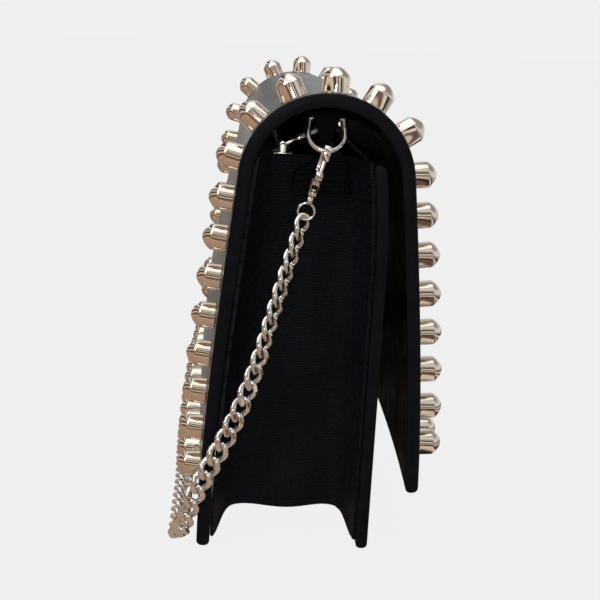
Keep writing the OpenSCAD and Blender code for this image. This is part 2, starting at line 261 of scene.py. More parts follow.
def bevel(bm, edges, amount, segments=2):
    """Rounds edges of a bmesh by an amount in millimetres."""
    bmesh.ops.bevel(bm, geom=edges, offset=amount * MM, offset_type="OFFSET", segments=segments,
                    profile=0.5, affect="EDGES", clamp_overlap=True, material=-1)


def from_node(name, amount=0.0, segments=2):
    """A merged copy of a CAD node's mesh, its sharp edges rounded by an amount in millimetres."""
    bm = bmesh.new()
    bm.from_mesh(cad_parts[name].data)
    bmesh.ops.remove_doubles(bm, verts=bm.verts[:], dist=2e-6)
    if amount > 0:
        bmesh.ops.dissolve_limit(bm, angle_limit=math.radians(FLAT_WITHIN), verts=bm.verts[:],
                                 edges=bm.edges[:])
        limit = math.radians(SHARP_FROM)
        sharp = [e for e in bm.edges if len(e.link_faces) == 2 and e.calc_face_angle(0.0) > limit]
        bevel(bm, sharp, amount, segments)
    return bm


def box_mm(name):
    """The two corners of a CAD node's box, in the design's axes."""
    return [(c[0] / MM, c[1] / MM - CENTRE_Y, c[2] / MM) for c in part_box(name)]


# ---- node groups ----
FULL_TURN = 6.2832


def group(name, results, **numbers):
    """A node group that takes a vector and numbers and gives numbers: its tree, inputs and outputs."""
    tree = bpy.data.node_groups.new(name, "ShaderNodeTree")
    tree.interface.new_socket(name="Vector", in_out="INPUT", socket_type="NodeSocketVector")
    for title, value in numbers.items():
        socket = tree.interface.new_socket(name=title, in_out="INPUT", socket_type="NodeSocketFloat")
        socket.default_value = value
    for title in results:
        tree.interface.new_socket(name=title, in_out="OUTPUT", socket_type="NodeSocketFloat")
    return tree, tree.nodes.new("NodeGroupInput").outputs, tree.nodes.new("NodeGroupOutput").inputs


def node(tree, kind, inputs=None, **settings):
    """A node with settings, whose inputs are numbers or other nodes' sockets."""
    n = tree.nodes.new(kind)
    for key, value in settings.items():
        setattr(n, key, value)
    for key, value in (inputs or {}).items():
        if isinstance(value, bpy.types.NodeSocket):
            tree.links.new(value, n.inputs[key])
        else:
            n.inputs[key].default_value = value
    return n


def math_node(tree, operation, a, b=0.0, c=0.0, clamp=False):
    """A Math node's result."""
    inputs = {0: a, 1: b, 2: c}
    return node(tree, "ShaderNodeMath", inputs, operation=operation, use_clamp=clamp).outputs[0]


def times(tree, a, b):
    """A product."""
    return math_node(tree, "MULTIPLY", a, b)


def remap(tree, value, low, high, to_low=0.0, to_high=1.0):
    """A value mapped from one range to another, held inside it."""
    inputs = {"Value": value, "From Min": low, "From Max": high, "To Min": to_low, "To Max": to_high}
    return node(tree, "ShaderNodeMapRange", inputs).outputs["Result"]


def mixed(tree, factor, a, b):
    """A colour between two colours."""
    return node(tree, "ShaderNodeMix", {0: factor, 6: a, 7: b}, data_type="RGBA").outputs[2]


def noise_at(tree, place, scale, detail, roughness=0.5):
    """A noise texture's outputs at a place."""
    inputs = {"Vector": place, "Scale": scale, "Detail": detail, "Roughness": roughness}
    return node(tree, "ShaderNodeTexNoise", inputs).outputs


def axes_of(tree, vector):
    """A vector's three numbers."""
    return node(tree, "ShaderNodeSeparateXYZ", {0: vector}).outputs


def cross_grain_group():
    """Pressed cross grain: short broken lines both ways, as height and as a mask of the valleys, used for
    painted shade.
    """
    tree, given, result = group("Cross Grain", ("Height", "Valley"), Lines=900.0, Break=1.0, Across=0.6)
    wobble = noise_at(tree, given["Vector"], 260.0, 2.0)
    shift = node(tree, "ShaderNodeVectorMath", {0: wobble["Color"], 1: (0.5, 0.5, 0.5)},
                 operation="SUBTRACT")
    small = node(tree, "ShaderNodeVectorMath", {0: shift.outputs[0], "Scale": 0.0016}, operation="SCALE")
    moved = node(tree, "ShaderNodeVectorMath", {0: given["Vector"], 1: small.outputs[0]},
                 operation="ADD").outputs[0]
    part = axes_of(tree, moved)
    wave = []
    for axis in ("X", "Y"):
        turn = times(tree, times(tree, part[axis], given["Lines"]), FULL_TURN)
        wave.append(math_node(tree, "MULTIPLY_ADD", math_node(tree, "SINE", turn), 0.5, 0.5))
    cut = times(tree, noise_at(tree, moved, 700.0, 1.0)["Fac"], given["Break"])
    both = math_node(tree, "MAXIMUM", wave[1], times(tree, wave[0], given["Across"]))
    height = times(tree, both, math_node(tree, "ADD", cut, 0.35, clamp=True))
    tree.links.new(height, result["Height"])
    tree.links.new(remap(tree, height, 0.05, 0.4, 1.0, 0.0), result["Valley"])
    return tree


def pebble_group():
    """Fine pebbled grain of a coated leather, as height and as a soft patchy mask."""
    tree, given, result = group("Pebble Grain", ("Height", "Patch"), Size=1500.0)
    cells = node(tree, "ShaderNodeTexVoronoi", {"Vector": given["Vector"], "Scale": given["Size"],
                                                "Randomness": 0.9}, feature="SMOOTH_F1")
    crown = remap(tree, cells.outputs["Distance"], 0.0, 0.75, 1.0, 0.0)
    fine = times(tree, noise_at(tree, given["Vector"], 2600.0, 2.0)["Fac"], 0.45)
    patch = noise_at(tree, given["Vector"], 34.0, 3.0)["Fac"]
    tree.links.new(math_node(tree, "ADD", crown, fine), result["Height"])
    tree.links.new(remap(tree, patch, 0.3, 0.7), result["Patch"])
    return tree


def wear_group():
    """Handling wear: a blotchy mask for dulled places and a fine one for scratches."""
    tree, given, result = group("Handling Wear", ("Dull", "Scratch"), Spots=120.0, Stretch=14.0)
    blots = noise_at(tree, given["Vector"], given["Spots"], 4.0, 0.6)["Fac"]
    part = axes_of(tree, given["Vector"])
    drawn = node(tree, "ShaderNodeCombineXYZ", {"X": times(tree, part["X"], given["Stretch"]),
                                                "Y": part["Y"], "Z": part["Z"]})
    lines = noise_at(tree, drawn.outputs[0], 420.0, 3.0)["Fac"]
    tree.links.new(remap(tree, blots, 0.42, 0.68), result["Dull"])
    tree.links.new(remap(tree, lines, 0.56, 0.7), result["Scratch"])
    return tree


def weave_group():
    """A twill weave of a zip tape, as height and as a mask of one set of threads."""
    tree, given, result = group("Tape Weave", ("Height", "Warp"), Threads=1600.0)
    part = axes_of(tree, given["Vector"])
    x, y = (times(tree, part[axis], given["Threads"]) for axis in ("X", "Y"))
    warp, weft = (math_node(tree, "SINE", times(tree, v, 3.0)) for v in (y, x))
    over = remap(tree, math_node(tree, "SINE", math_node(tree, "ADD", x, y)), -0.3, 0.3)
    under = math_node(tree, "SUBTRACT", 1.0, over)
    height = math_node(tree, "ADD", times(tree, warp, over), times(tree, weft, under))
    tree.links.new(height, result["Height"])
    tree.links.new(over, result["Warp"])
    return tree


GROUPS = {}
GROUP_MAKERS = {"Cross Grain": cross_grain_group, "Pebble Grain": pebble_group,
                "Handling Wear": wear_group, "Tape Weave": weave_group}


def effect(tree, name, vector, **values):
    """Places a shared node group in a material with its own values, and gives its outputs."""
    if name not in GROUPS:
        GROUPS[name] = GROUP_MAKERS[name]()
    return node(tree, "ShaderNodeGroup", {"Vector": vector, **values}, node_tree=GROUPS[name]).outputs


# ---- materials ----
def new_material(name):
    """A node material, its tree and its Principled BSDF."""
    mat = bpy.data.materials.new(name)
    mat.use_nodes = True
    return mat, mat.node_tree, mat.node_tree.nodes["Principled BSDF"]


def coordinates(tree, kind="Object"):
    """The coordinates a pattern reads."""
    return node(tree, "ShaderNodeTexCoord").outputs[kind]


def shade(colour, by):
    """A colour multiplied by a number, as a node colour."""
    return (colour[0] * by, colour[1] * by, colour[2] * by, 1.0)


def covered(made, tone, dull, rough, height, bumps, values):
    """Completes a material: rough is its roughness where dull is 0 and 1, bumps their depth in
    millimetres and strength, and values what is the same all over."""
    mat, tree, shader = made
    raised = node(tree, "ShaderNodeBump", {"Height": height, "Distance": bumps[0] * MM,
                                           "Strength": bumps[1]})
    tree.links.new(tone, shader.inputs["Base Color"])
    if rough:
        tree.links.new(remap(tree, dull, 0.0, 1.0, *rough), shader.inputs["Roughness"])
    tree.links.new(raised.outputs["Normal"], shader.inputs["Normal"])
    for key, value in values.items():
        shader.inputs[key].default_value = value
    return mat


CREASE_AT = 0.0927      # how far from the middle the crease runs, and half its width, in metres
CREASE_HALF = 0.0005


def silver_leather(name, colour):
    """Silver-grey metallic coated leather with a pressed cross grain and a crease along its edge, their
    valleys and the crease darkened as painted shade.
    """
    made = new_material(name)
    tree = made[1]
    uv = coordinates(tree, "UV")
    grain = effect(tree, "Cross Grain", uv, Lines=1150.0, Break=1.1, Across=0.85)
    pebble = effect(tree, "Pebble Grain", uv, Size=1700.0)
    wear = effect(tree, "Handling Wear", uv, Spots=60.0, Stretch=3.0)
    off = math_node(tree, "ABSOLUTE", axes_of(tree, uv)["X"])
    crease = math_node(tree, "ABSOLUTE", math_node(tree, "SUBTRACT", off, CREASE_AT))
    crease = remap(tree, crease, 0.0, CREASE_HALF, 1.0, 0.0)
    tone = mixed(tree, pebble["Patch"], shade(colour, 0.86), shade(colour, 1.08))
    # painted shade: the grain's valleys are darkened in the colour
    tone = mixed(tree, times(tree, grain["Valley"], 0.5), tone, shade(colour, 0.5))
    # painted shade: the crease along the edge is darkened in the colour as well as pressed in
    tone = mixed(tree, times(tree, crease, 0.6), tone, shade(colour, 0.4))
    high = math_node(tree, "ADD", grain["Height"], times(tree, pebble["Height"], 0.35))
    high = math_node(tree, "SUBTRACT", high, times(tree, crease, 1.5))
    return covered(made, tone, wear["Dull"], (0.40, 0.52), high, (0.09, 0.75), {"Metallic": 0.4})


def black_leather(name, colour):
    """Black cross-grained leather, its ridges painted lighter as a highlight and its valleys painted darker
    as shade.
    """
    made = new_material(name)
    tree = made[1]
    uv = coordinates(tree, "UV")
    grain = effect(tree, "Cross Grain", uv, Lines=1150.0, Break=1.1, Across=1.0)
    pebble = effect(tree, "Pebble Grain", uv, Size=1300.0)
    wear = effect(tree, "Handling Wear", uv, Spots=45.0, Stretch=2.0)
    tone = mixed(tree, pebble["Patch"], shade(colour, 2.6), shade(colour, 4.8))
    # painted highlight and shade: the grain's ridges are lightened and its valleys darkened in the colour
    tone = mixed(tree, remap(tree, grain["Height"], 0.45, 0.8), shade(colour, 0.25), tone)
    high = math_node(tree, "ADD", grain["Height"], times(tree, pebble["Height"], 0.3))
    return covered(made, tone, wear["Dull"], (0.46, 0.62), high, (0.13, 0.9), {"Specular IOR Level": 0.05})


def pebbled(name, colour, size, spots, stretch, tone, rough, bumps, values):
    """A pebbled finish. tone and rough each give a mask and the values where it is 0 and 1."""
    made = new_material(name)
    tree = made[1]
    place = coordinates(tree)
    pebble = effect(tree, "Pebble Grain", place, Size=size)
    wear = effect(tree, "Handling Wear", place, Spots=spots, Stretch=stretch)
    masks = {"Patch": pebble["Patch"], "Dull": wear["Dull"]}
    shades = mixed(tree, masks[tone[0]], shade(colour, tone[1]), shade(colour, tone[2]))
    return covered(made, shades, masks[rough[0]], rough[1:], pebble["Height"], bumps, values)


def zip_weave(name, colour):
    """Woven black zip tape."""
    made = new_material(name)
    tree = made[1]
    place = coordinates(tree)
    weave = effect(tree, "Tape Weave", place, Threads=3600.0)
    wear = effect(tree, "Handling Wear", place, Spots=90.0, Stretch=1.0)
    tone = mixed(tree, weave["Warp"], shade(colour, 0.8), shade(colour, 1.5))
    tone = mixed(tree, times(tree, wear["Dull"], 0.3), tone, shade(colour, 2.2))
    plain = {"Roughness": 0.8, "Sheen Weight": 0.25}
    return covered(made, tone, None, None, weave["Height"], (0.08, 0.8), plain)


def polished_metal(name, colour, low, high):
    """Polished plated metal with faint scratches and dulled places."""
    made = new_material(name)
    tree = made[1]
    wear = effect(tree, "Handling Wear", coordinates(tree), Spots=190.0, Stretch=6.0)
    tone = mixed(tree, wear["Dull"], shade(colour, 1.0), shade(colour, 0.9))
    both = math_node(tree, "MAXIMUM", wear["Dull"], times(tree, wear["Scratch"], 0.7))
    return covered(made, tone, both, (low, high), wear["Scratch"], (0.004, 0.5), {"Metallic": 1.0})


FINISHES = {}
# each look's slot, maker, material, colour setting and other values
LOOKS = {
    "silver": ("leather_silver", silver_leather, "Silver Leather", "silver"),
    "gusset": ("leather_black", black_leather, "Gusset Leather", "black"),
    "panel": ("leather_black", black_leather, "Panel Leather", "black"),
    # the tongues' leather is the black leather in a darker colour, painted shade that offsets the brighter
    # light where they hang
    "tab": ("leather_black", black_leather, "Tab Leather", "tab"),
    # thick matt paint, slightly uneven, lighter in blotchy rubbed patches
    "edge": ("edge_board", pebbled, "Edge Paint", "edge", 420.0, 170.0, 1.0, ("Dull", 0.8, 1.3),
             ("Dull", 0.40, 0.58), (0.05, 0.5), {"Specular IOR Level": 0.10}),
    # smooth leather with soft rubbed patches
    "lining": ("lining_black", pebbled, "Lining", "lining", 1100.0, 70.0, 1.5, ("Patch", 0.75, 1.3),
               ("Dull", 0.55, 0.72), (0.07, 0.7), {"Specular IOR Level": 0.06}),
    "tape": ("zip_tape", zip_weave, "Zip Tape", "lining"),
    "nickel": ("nickel", polished_metal, "Nickel", "nickel", 0.10, 0.30),
    "chain": ("nickel", polished_metal, "Chain Metal", "chain", 0.08, 0.22),
    "stud": ("stud_metal", polished_metal, "Stud Metal", "stud", 0.05, 0.16),
    # pale leather, darker where it is handled
    "strap": ("leather_silver", pebbled, "Strap Leather", "strap", 1500.0, 150.0, 2.0,
              ("Dull", 1.05, 0.8), ("Patch", 0.42, 0.55), (0.06, 0.7), {}),
    "clasp": ("clasp_metal", polished_metal, "Clasp Metal", "clasp", 0.2, 0.4),
    # dark satin finish with a fine speckle
    "boss": ("clasp_dome", pebbled, "Boss Finish", "boss", 900.0, 130.0, 2.0, ("Patch", 0.7, 1.3),
             ("Dull", 0.22, 0.42), (0.02, 0.5), {"Metallic": 0.6}),
}


def finish(look):
    """A finish of the wallet, made once."""
    if look not in FINISHES:
        _, maker, name, setting, *values = LOOKS[look]
        FINISHES[look] = maker(name, getattr(bpy.context.scene.wallet_looks, setting), *values)
    return FINISHES[look]


# ---- stage ----
CAMERA_AT = Vector((-0.380, 0.02776, 0.15475))
CAMERA_DOWN = 14.502    # degrees below level
CAMERA_TURN = 3.912     # degrees from +X towards -Y
CAMERA_ROLL = 3.0       # degrees clockwise in the picture


def make_camera():
    """The camera at the left end of the wallet."""
    p, y, r = (math.radians(a) for a in (CAMERA_DOWN, CAMERA_TURN, CAMERA_ROLL))
    right = Vector((-math.sin(y), -math.cos(y), 0.0))
    ahead = Vector((math.cos(p) * math.cos(y), -math.cos(p) * math.sin(y), -math.sin(p)))
    up = right.cross(ahead)
    across = right * math.cos(r) + up * math.sin(r)
    upward = up * math.cos(r) - right * math.sin(r)
    cam = bpy.data.cameras.new("Camera")
    cam.lens = 60.0
    cam.sensor_width = 36.0
    cam.clip_start = 0.01
    cam.clip_end = 100.0
    obj = bpy.data.objects.new("Camera", cam)
    turn = Matrix((across, upward, -ahead)).transposed().to_4x4()
    obj.matrix_world = Matrix.Translation(CAMERA_AT) @ turn
    bpy.context.collection.objects.link(obj)
    bpy.context.scene.camera = obj


def make_floor():
    """A wide pale floor, which the camera sees as the plain background and polished metal in bands."""
    bm = bmesh.new()
    bmesh.ops.create_grid(bm, x_segments=4, y_segments=4, size=30.0)
    mat, tree, shader = new_material("Floor")
    shader.inputs["Base Color"].default_value = (*FLOOR_COLOUR, 1.0)
    shader.inputs["Roughness"].default_value = 0.9
    shader.inputs["Specular IOR Level"].default_value = 0.0
    seen = node(tree, "ShaderNodeLightPath")
    glow = node(tree, "ShaderNodeEmission", {"Color": (*BACKGROUND, 1.0), "Strength": 1.0})
    share = times(tree, seen.outputs["Is Camera Ray"], FLOOR_GLOW)
    plain = node(tree, "ShaderNodeMixShader", {0: share})
    tree.links.new(shader.outputs[0], plain.inputs[1])
    tree.links.new(glow.outputs[0], plain.inputs[2])
    seen_from = node(tree, "ShaderNodeVectorMath", {0: coordinates(tree), 1: (0.0, 0.0, EYE_LEVEL)},
                     operation="SUBTRACT")
    way = node(tree, "ShaderNodeVectorMath", {0: seen_from.outputs[0]}, operation="NORMALIZE")
    bands = studio_bands(tree, way.outputs[0])
    mirrored = node(tree, "ShaderNodeEmission", {"Color": bands, "Strength": 1.0})
    mix = node(tree, "ShaderNodeMixShader", {0: seen.outputs["Is Glossy Ray"]})
    tree.links.new(plain.outputs[0], mix.inputs[1])
    tree.links.new(mirrored.outputs[0], mix.inputs[2])
    tree.links.new(mix.outputs[0], tree.nodes["Material Output"].inputs["Surface"])
    piece_from("floor", bm, mat)


BACKGROUND = (0.871, 0.871, 0.871)
FLOOR_COLOUR = (0.8, 0.8, 0.8)
FLOOR_GLOW = 0.98       # how much of what the camera sees of the floor is the background
BAND_WAY = (0.30, -0.60, 0.74)  # the direction across the bands of the surroundings
EYE_LEVEL = 0.08        # height from which the floor's bands are measured
# what polished metal mirrors, by where a direction lies along BAND_WAY, from opposite to along it
STUDIO_BANDS = (
    (0.00, (0.42, 0.30, 0.23)), (0.14, (0.50, 0.36, 0.28)), (0.19, (0.58, 0.43, 0.34)),
    (0.20, (0.14, 0.08, 0.055)), (0.25, (0.28, 0.17, 0.12)), (0.265, (0.025, 0.02, 0.02)),
    (0.285, (0.03, 0.025, 0.02)), (0.30, (0.76, 0.66, 0.56)), (0.35, (0.82, 0.72, 0.62)),
    (0.365, (0.09, 0.06, 0.045)), (0.40, (0.20, 0.13, 0.095)), (0.415, (0.025, 0.02, 0.02)),
    (0.44, (0.03, 0.025, 0.02)), (0.455, (0.68, 0.57, 0.48)), (0.50, (0.76, 0.67, 0.58)),
    (0.515, (0.14, 0.10, 0.08)), (0.56, (0.22, 0.16, 0.13)), (0.575, (0.90, 0.85, 0.80)),
    (0.62, (0.95, 0.92, 0.88)), (0.635, (0.04, 0.035, 0.03)), (0.69, (0.07, 0.065, 0.06)),
    (0.705, (0.40, 0.38, 0.36)), (0.76, (0.48, 0.46, 0.44)), (0.78, (0.86, 0.84, 0.82)),
    (0.88, (0.78, 0.77, 0.75)), (0.94, (0.38, 0.37, 0.36)), (1.00, (0.34, 0.33, 0.32)),
)


def studio_bands(tree, way):
    """The colour of the surroundings along a direction."""
    along = node(tree, "ShaderNodeVectorMath", {0: way, 1: BAND_WAY}, operation="DOT_PRODUCT")
    ramp = tree.nodes.new("ShaderNodeValToRGB")
    marks = ramp.color_ramp.elements
    while len(marks) < len(STUDIO_BANDS):
        marks.new(0.5)
    for mark, (place, colour) in zip(marks, STUDIO_BANDS):
        mark.position = place
        mark.color = (*colour, 1.0)
    place = math_node(tree, "MULTIPLY_ADD", along.outputs["Value"], 0.5, 0.5)
    tree.links.new(place, ramp.inputs["Fac"])
    return ramp.outputs["Color"]


def make_world():
    """Soft surroundings in bands, which polished metal mirrors; the camera sees plain pale grey."""
    world = bpy.data.worlds.new("Studio")
    bpy.context.scene.world = world
    world.use_nodes = True
    tree = world.node_tree
    tree.nodes.clear()
    way = coordinates(tree, "Generated")
    seen = node(tree, "ShaderNodeLightPath").outputs["Is Camera Ray"]
    colour = mixed(tree, seen, studio_bands(tree, way), (*BACKGROUND, 1.0))
    back = node(tree, "ShaderNodeBackground", {"Color": colour, "Strength": 1.0})
    node(tree, "ShaderNodeOutputWorld", {"Surface": back.outputs[0]})


def area_light(name, at, towards, size, power, colour=(1.0, 1.0, 1.0)):
    """A soft square light that looks towards a point."""
    light = bpy.data.lights.new(name, "AREA")
    light.shape = "RECTANGLE"
    light.size = size
    light.size_y = size
    light.energy = power
    light.color = colour
    obj = bpy.data.objects.new(name, light)
    way = Vector(towards) - Vector(at)
    obj.matrix_world = Matrix.Translation(Vector(at)) @ way.to_track_quat("-Z", "Y").to_matrix().to_4x4()
    bpy.context.collection.objects.link(obj)


# ---- chain ----
CHAIN_ROUTE = (
    (-91.2, 5.5, 103.5), (-92, 7.2, 97.5), (-93.4, 9.6, 89), (-95, 12, 80.5), (-96.6, 14.4, 71.5),
    (-98, 17, 62), (-99.2, 20.2, 52), (-100, 24.2, 42), (-100.2, 28.6, 32.5), (-100, 33, 23.5),
    (-99.2, 36.4, 14.5), (-97.4, 38.6, 7.5), (-92.5, 39.7, 3.6), (-84, 39.7, 3), (-70, 39.8, 3),
    (-50, 40, 3), (-28, 41, 3), (0, 42, 3))
# which way the flat of the chain faces, by length along the route
CHAIN_FACING = (
    (0.0, (-0.62, -0.78, 0.0)), (38.0, (-0.66, -0.75, 0.0)), (60.0, (-0.9, -0.42, 0.0)),
    (78.0, (-1.0, -0.1, 0.0)), (98.0, (-1.0, -0.1, -0.1)), (112.0, (-0.7, -0.2, -0.7)),
    (122.0, (-0.05, 0.0, -1.0)), (400.0, (0.0, 0.0, -1.0)))
LINK_HALF = 3.52        # half a link's length, to the middle of its wire
LINK_WIDE = 2.4         # half a link's width, to the middle of its wire
LINK_WIRE = 0.92        # radius of a link's wire
LINK_CUT = 1.42         # half the thickness to which the links are cut flat
LINK_TWIST = math.radians(-45)
FIRST_LINK = 1.4        # how far down the route the first link's middle is


def between(p, i, t):
    """A point of a smooth curve through the route's points."""
    a, b, c, d = p[max(i - 1, 0)], p[i], p[i + 1], p[min(i + 2, len(p) - 1)]
    return tuple(0.5 * (2 * b[k] + (c[k] - a[k]) * t + (2 * a[k] - 5 * b[k] + 4 * c[k] - d[k]) * t * t
                        + (3 * b[k] - a[k] - 3 * c[k] + d[k]) * t ** 3) for k in range(3))


def chain_path():
    """Half the route as points close together, with the length up to each."""
    points = []
    for i in range(len(CHAIN_ROUTE) - 1):
        points += [between(CHAIN_ROUTE, i, k / 8) for k in range(8)]
    points.append(CHAIN_ROUTE[-1])
    lengths = [0.0]
    for a, b in zip(points, points[1:]):
        lengths.append(lengths[-1] + math.dist(a, b))
    return points, lengths


def at_length(points, lengths, s):
    """The point and direction at a length along a line of points."""
    past = next((i for i, v in enumerate(lengths) if v > s), len(points) - 1)
    k = max(0, min(len(points) - 2, past - 1))
    a, b = Vector(points[k]), Vector(points[k + 1])
    way = (b - a).normalized()
    return a + way * (s - lengths[k]), way


def facing_at(s):
    """The direction the chain's flat faces at a length along the route."""
    for (a, p), (b, q) in zip(CHAIN_FACING, CHAIN_FACING[1:]):
        if s <= b:
            return Vector(p).lerp(Vector(q), max(0.0, (s - a) / (b - a)))
    return Vector(CHAIN_FACING[-1][1])


def link_line(a):
    """The middle of a link's wire at an angle round the link, and the direction out of the link there."""
    side = math.sin(a)
    twist = LINK_TWIST * math.cos(a)
    middle = Vector((LINK_HALF * math.cos(a), LINK_WIDE * side * math.cos(twist),
                     LINK_WIDE * side * math.sin(twist)))
    return middle, Vector((math.cos(a), side * math.cos(twist), side * math.sin(twist)))


def link_mesh():
    """One twisted oval link, cut flat on both faces, along X with its flat facing Z."""
    around, rings = 24, 12

    def point(i, j):
        a = 2 * math.pi * i / around
        centre, out = link_line(a)
        way = (link_line(a + 0.01)[0] - centre).normalized()
        n = (out - way * out.dot(way)).normalized()
        m = way.cross(n)
        g = 2 * math.pi * (j + 0.5) / rings
        p = centre + (n * math.cos(g) + m * math.sin(g)) * LINK_WIRE
        p.z = max(-LINK_CUT, min(LINK_CUT, p.z))
        return p * MM

    bm = grid_bmesh(around, rings, point, lambda i, j: (i / around, j / rings), caps=False)
    for e in bm.edges:
        flat = [abs(f.normal.z) > 0.999 for f in e.link_faces]
        e.smooth = all(flat) or not any(flat)
    return mesh_from("link", bm)


def make_chain(pitch):
    """The curb chain in two halves, from each hook's eye to the middle behind the wallet."""
    points, lengths = chain_path()
    half = lengths[-1]
    run = 2 * half - 2 * FIRST_LINK
    count = round(run / pitch) + 1
    link = link_mesh()
    sides = {"left": bmesh.new(), "right": bmesh.new()}
    for k in range(count):
        s = FIRST_LINK + k * (run / (count - 1))
        mirrored = s > half
        near = 2 * half - s if mirrored else s
        at, way = at_length(points, lengths, near)
        face = facing_at(near)
        if mirrored:
            at.x, way.x, face.x = -at.x, -way.x, -face.x
            way = -way
        face = (face - way * face.dot(way)).normalized()
        turn = Matrix((way, face.cross(way), face)).transposed().to_4x4()
        add_copy(sides["right" if mirrored else "left"], link, Matrix.Translation(placed(*at)) @ turn)
    bpy.data.meshes.remove(link)
    for name, sign in (("left", 1), ("right", -1)):
        obj = part_from("chain_strap_" + name, sides[name], "chain", ["chain_" + name], angle=0)
        route = [placed(sign * p[0], p[1], p[2]) for p in points]
        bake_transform(obj)


# ---- wrap ----
WRAP_EDGE = [0.0, 0.12, 0.35, 0.7, 1.1, 1.55, 2.0, 2.3, 2.5]  # rows of points near a free edge
SHEET_FROM = 2.2        # how far inside the free edges a sheet starts
SHEET_HALF = 94.3       # half the length of a sheet inside the painted edges
EDGE_HALF = HALF_L + 0.4  # half the length of the painted board
CORNER_R = 1.5          # radius of the board's corners
RIM = 2.4               # how far in the paint covers the board's full thickness
STRIPS = 30             # faces along a sheet
SLACK = 6.0             # how far the lining buckles in under the round top
SLACK_AT = 94           # where it does, in degrees, and how far to either side
SLACK_SPREAD = 30
SLACK_HALF = 86         # half the length over which it does


def wrap_rows(half):
    """Lengths along the outline at which the wrap's half has a row of points, closer on the top."""
    start, end = (lookup(top_u(a), RUN_BY_U) for a in (TOP_START, TOP_END))
    if half == "back":
        return WRAP_EDGE + steps(4.0, start, 3.4) + steps(start, SEAM_RUN, 1.3)[1:]
    low = steps(SEAM_RUN, end, 1.3) + steps(end, WRAP_RUN - 4.0, 3.4)[1:]
    return low + [WRAP_RUN - g for g in reversed(WRAP_EDGE)]


def bar_points(limit):
    """Evenly spaced x values from -limit to limit."""
    return [-limit + 2 * limit * i / STRIPS for i in range(STRIPS + 1)]


def sheet_ring(low, high):
    """The closed section of a plain sheet, as pairs of x and depth."""
    xs = bar_points(SHEET_HALF)
    return [(x, low) for x in xs] + [(x, high) for x in reversed(xs)]


def board_ring(g, thick, skin, board):
    """The closed section of a board and the painted edges round it, g millimetres from its free edge."""
    limit = EDGE_HALF
    if g < CORNER_R:
        limit -= CORNER_R - math.sqrt(CORNER_R * CORNER_R - (CORNER_R - g) ** 2)
    low, high = (-LAP, thick + LAP) if g < RIM else (skin, skin + board)
    end = ((-1.2, -LAP), (-0.6, -LAP), (-0.22, 0.22), (-0.04, 0.8), (0.0, thick / 2),
           (-0.04, thick - 0.8), (-0.22, thick - 0.22), (-0.6, thick + LAP), (-1.2, thick + LAP))
    ring = [(limit + a, d) for a, d in end]
    xs = bar_points(limit - 1.25)
    ring += [(x, high) for x in reversed(xs)]
    ring += [(-(limit + a), d) for a, d in reversed(end)]
    ring += [(x, low) for x in xs]
    squeeze = max(0.2, math.sqrt(max(0.0, 1 - (1 - min(g, thick / 2) / (thick / 2)) ** 2)))
    return [(x, thick / 2 + (d - thick / 2) * squeeze) for x, d in ring]


def shell(name, rows, ring, place, look, nodes, body=None):
    """A closed sheet: ring(s) is its section at each row, and place turns x, s and depth into a point."""
    rings = [ring(s) for s in rows]
    n = len(rings[0])

    def point(i, j):
        x, depth = rings[j][i % n]
        return place(x, rows[j], depth)

    def uv(i, j):
        return (rings[j][i % n][0] * MM, rows[j] * MM)

    return part_from(name, grid_bmesh(n, len(rows) - 1, point, uv), look, nodes, body, 50)


def on_wrap(x, s, depth):
    """A point of the wrap by its length along the outline."""
    return wrap_point(x, lookup(s, U_BY_RUN), depth)


def on_slack_wrap(x, s, depth):
    """A point of the lining, which buckles inwards under the round top, away from the ends."""
    u = lookup(s, U_BY_RUN)
    angle = TOP_START + (TOP_END - TOP_START) * (u - 1)
    slack = SLACK * math.exp(-((angle - SLACK_AT) / SLACK_SPREAD) ** 2)
    return wrap_point(x, u, depth + slack * max(0.0, 1 - (abs(x) / SLACK_HALF) ** 8))


def bend_round(obj, first, second, angle):
    """Bakes a wrap piece's placement into its mesh; the two bodies and the angle are not used."""
    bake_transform(obj)


def make_wrap():
    """The wrap's leather, boards with painted edges, and lining, each in a back and a flap half."""
    for half, bodies, angle in (("back", ("root", "flap_top"), LIFT_AT),
                                ("flap", ("flap_top", "flap"), FOLD_AT)):
        rows = wrap_rows(half)
        free = (lambda s: s) if half == "back" else (lambda s: WRAP_RUN - s)
        inner = [s for s in rows if free(s) >= SHEET_FROM]
        layers = (
            ("leather", inner, lambda s: sheet_ring(0.0, SKIN_T), on_wrap, "silver", "skin"),
            ("edge", rows, lambda s: board_ring(free(s), WRAP_T, SKIN_T, BOARD_T), on_wrap, "edge", "board"),
            ("lining", inner, lambda s: sheet_ring(SKIN_T + BOARD_T, WRAP_T), on_slack_wrap, "lining",
             "lining"))
        for title, levels, ring, place, look, layer in layers:
            nodes = ["back_" + layer, "top_" + layer] if half == "back" else ["flap_" + layer]
            bend_round(shell("wrap_" + title + "_" + half, levels, ring, place, look, nodes), *bodies, angle)


# ---- front panel, gussets, bottom ----
FRONT_EDGE = [0.0, 0.12, 0.35, 0.7, 1.1, 1.5, 1.8, 2.3, 2.5]  # rows of points near a free edge


def on_front(x, s, depth):
    """A point of the front panel at height s, depth inside its outer face."""
    return placed(x, lookup(s, FRONT_LINE) - FRONT_T + depth, s)


def make_front():
    """The front panel's leather, board with painted edges, and lining."""
    top = FRONT_LINE[-1][0]
    rows = FRONT_EDGE + steps(4.0, top - 4.0, 4.0) + [top - g for g in reversed(FRONT_EDGE)]

    def board(s):
        return board_ring(min(s, top - s), FRONT_T, FRONT_SKIN_T, FRONT_BOARD_T)

    inner = [s for s in rows if min(s, top - s) >= SHEET_FROM]
    for name, levels, ring, look, cad in (
            ("front_leather", inner, lambda s: sheet_ring(0.0, FRONT_SKIN_T), "panel", "front_skin"),
            ("front_edge", rows, board, "edge", "front_board"),
            ("front_lining_sheet", inner, lambda s: sheet_ring(FRONT_SKIN_T + FRONT_BOARD_T, FRONT_T),
             "lining", "front_lining")):
        shell(name, levels, ring, on_front, look, [cad], "root")


